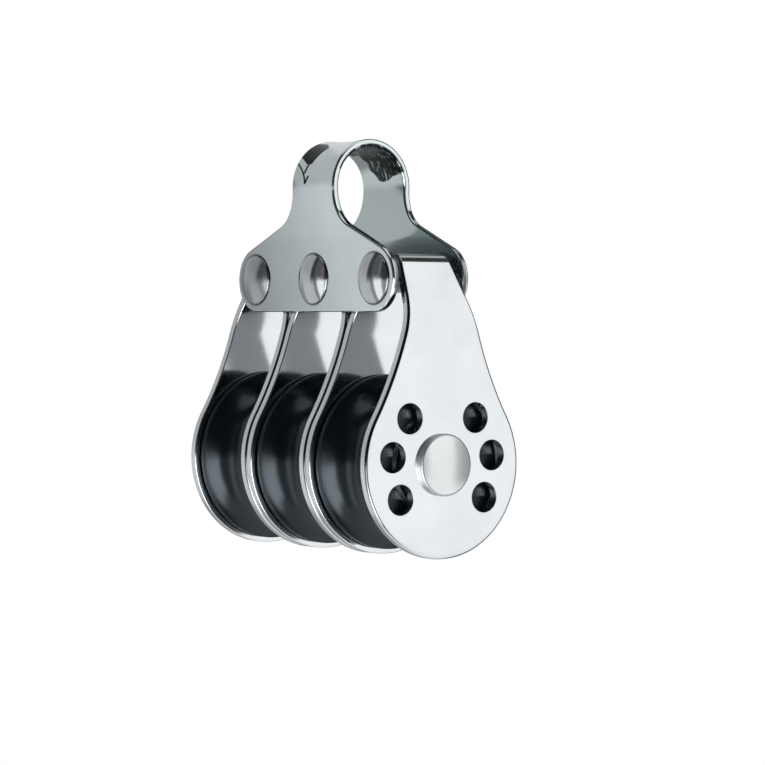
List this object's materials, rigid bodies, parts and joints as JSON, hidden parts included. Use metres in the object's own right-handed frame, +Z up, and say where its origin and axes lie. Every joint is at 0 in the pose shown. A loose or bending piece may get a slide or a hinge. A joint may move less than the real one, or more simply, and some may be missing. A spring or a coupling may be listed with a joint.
{
  "type": "triple block",
  "caption": "Small ball-bearing pulley block: sheaves side by side in folded stainless shells, riveted under a folded hanger whose arch is the eye.",
  "frame": {"origin": "centre of the eye's round, midway between the hanger's legs", "axes": "+Z up from the axle to the eye, +X along the axle, +Y across the hanger's legs"},
  "size_m": [0.042, 0.0234, 0.0529],
  "materials": {
    "polished_sheet": "polished stainless steel sheet",
    "rivet_steel": "polished stainless steel rivet",
    "tube_steel": "drawn stainless steel tube",
    "race_steel": "turned stainless steel",
    "sheave_plastic": "black acetal, moulded and semi-gloss",
    "ball_plastic": "white acetal"
  },
  "bodies": {
    "frame": {"hanger": "polished_sheet", "axle_rivet": "rivet_steel", "left_shell": "polished_sheet", "left_spacer_tube": "tube_steel", "left_hanger_rivet": "rivet_steel", "left_inner_race": "race_steel", "middle_shell": "polished_sheet", "middle_spacer_tube": "tube_steel", "middle_hanger_rivet": "rivet_steel", "middle_inner_race": "race_steel", "right_shell": "polished_sheet", "right_spacer_tube": "tube_steel", "right_hanger_rivet": "rivet_steel", "right_inner_race": "race_steel"},
    "left_sheave": {"left_sheave": "sheave_plastic"},
    "left_balls_a": {"left_sheave_balls_a": "ball_plastic"},
    "left_balls_b": {"left_sheave_balls_b": "ball_plastic"},
    "middle_sheave": {"middle_sheave": "sheave_plastic"},
    "middle_balls_a": {"middle_sheave_balls_a": "ball_plastic"},
    "middle_balls_b": {"middle_sheave_balls_b": "ball_plastic"},
    "right_sheave": {"right_sheave": "sheave_plastic"},
    "right_balls_a": {"right_sheave_balls_a": "ball_plastic"},
    "right_balls_b": {"right_sheave_balls_b": "ball_plastic"}
  },
  "joints": [
    {"name": "left_sheave_spin", "type": "hinge", "parent": "frame", "child": "left_sheave", "pos_m": [-0.01335, 0, -0.03505], "axis": [1, 0, 0], "continuous": true},
    {"name": "left_balls_a_roll", "type": "hinge", "parent": "frame", "child": "left_balls_a", "pos_m": [-0.01605, 0, -0.03505], "axis": [1, 0, 0], "continuous": true},
    {"name": "left_balls_b_roll", "type": "hinge", "parent": "frame", "child": "left_balls_b", "pos_m": [-0.01065, 0, -0.03505], "axis": [1, 0, 0], "continuous": true},
    {"name": "middle_sheave_spin", "type": "hinge", "parent": "frame", "child": "middle_sheave", "pos_m": [0, 0, -0.03505], "axis": [1, 0, 0], "continuous": true},
    {"name": "middle_balls_a_roll", "type": "hinge", "parent": "frame", "child": "middle_balls_a", "pos_m": [-0.0027, 0, -0.03505], "axis": [1, 0, 0], "continuous": true},
    {"name": "middle_balls_b_roll", "type": "hinge", "parent": "frame", "child": "middle_balls_b", "pos_m": [0.0027, 0, -0.03505], "axis": [1, 0, 0], "continuous": true},
    {"name": "right_sheave_spin", "type": "hinge", "parent": "frame", "child": "right_sheave", "pos_m": [0.01335, 0, -0.03505], "axis": [1, 0, 0], "continuous": true},
    {"name": "right_balls_a_roll", "type": "hinge", "parent": "frame", "child": "right_balls_a", "pos_m": [0.01065, 0, -0.03505], "axis": [1, 0, 0], "continuous": true},
    {"name": "right_balls_b_roll", "type": "hinge", "parent": "frame", "child": "right_balls_b", "pos_m": [0.01605, 0, -0.03505], "axis": [1, 0, 0], "continuous": true}
  ],
  "couplings": [
    {"joint": "left_balls_a_roll", "follows": "left_sheave_spin", "ratio": 0.6293},
    {"joint": "left_balls_b_roll", "follows": "left_sheave_spin", "ratio": 0.6293},
    {"joint": "middle_balls_a_roll", "follows": "middle_sheave_spin", "ratio": 0.6293},
    {"joint": "middle_balls_b_roll", "follows": "middle_sheave_spin", "ratio": 0.6293},
    {"joint": "right_balls_a_roll", "follows": "right_sheave_spin", "ratio": 0.6293},
    {"joint": "right_balls_b_roll", "follows": "right_sheave_spin", "ratio": 0.6293}
  ]
}
